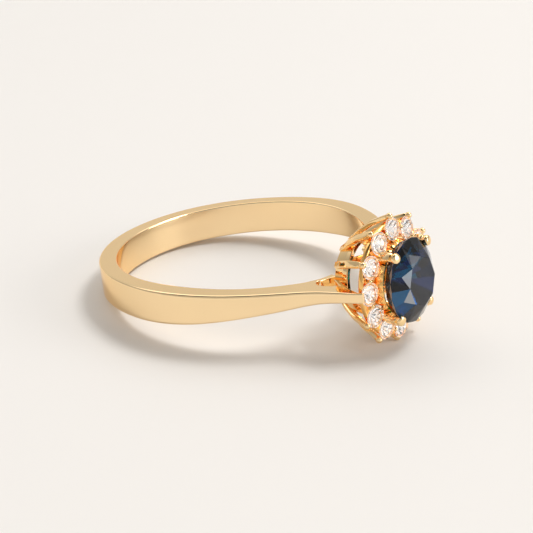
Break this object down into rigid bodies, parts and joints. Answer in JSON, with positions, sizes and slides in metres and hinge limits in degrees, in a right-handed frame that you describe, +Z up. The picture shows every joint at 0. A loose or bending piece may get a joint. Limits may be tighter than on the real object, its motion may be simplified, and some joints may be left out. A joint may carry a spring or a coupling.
{
  "type": "halo ring",
  "caption": "Gold halo engagement ring lying on its side: tapered cathedral shank, open claw basket, oval blue centre stone in a ring of round clear stones.",
  "frame": {"origin": "centre of the bounding box at the ground plane, with the ring lying on its side as it rests on the back edge of the shank and the lowest halo claw", "axes": "+X from the back of the shank towards the head, +Y across the shoulders, +Z up from the ground plane"},
  "size_m": [0.0232, 0.019, 0.0084],
  "materials": {
    "gold": "polished yellow gold",
    "diamond": "clear cut stone, polished facets",
    "sapphire": "deep blue cut stone, polished facets"
  },
  "bodies": {
    "root": {"base_ring": "gold", "centre_claw_1": "gold", "centre_claw_2": "gold", "centre_claw_3": "gold", "centre_claw_4": "gold", "centre_collet": "gold", "centre_stone": "sapphire", "halo_bead_1": "gold", "halo_bead_2": "gold", "halo_bead_3": "gold", "halo_bead_4": "gold", "halo_bead_5": "gold", "halo_bead_6": "gold", "halo_bead_7": "gold", "halo_bead_8": "gold", "halo_claw_01": "gold", "halo_claw_02": "gold", "halo_claw_03": "gold", "halo_claw_04": "gold", "halo_claw_05": "gold", "halo_claw_06": "gold", "halo_claw_07": "gold", "halo_claw_08": "gold", "halo_claw_09": "gold", "halo_claw_10": "gold", "halo_claw_11": "gold", "halo_claw_12": "gold", "halo_rail": "gold", "halo_stone_01": "diamond", "halo_stone_02": "diamond", "halo_stone_03": "diamond", "halo_stone_04": "diamond", "halo_stone_05": "diamond", "halo_stone_06": "diamond", "halo_stone_07": "diamond", "halo_stone_08": "diamond", "halo_stone_09": "diamond", "halo_stone_10": "diamond", "halo_stone_11": "diamond", "halo_stone_12": "diamond", "shank": "gold"}
  },
  "joints": []
}
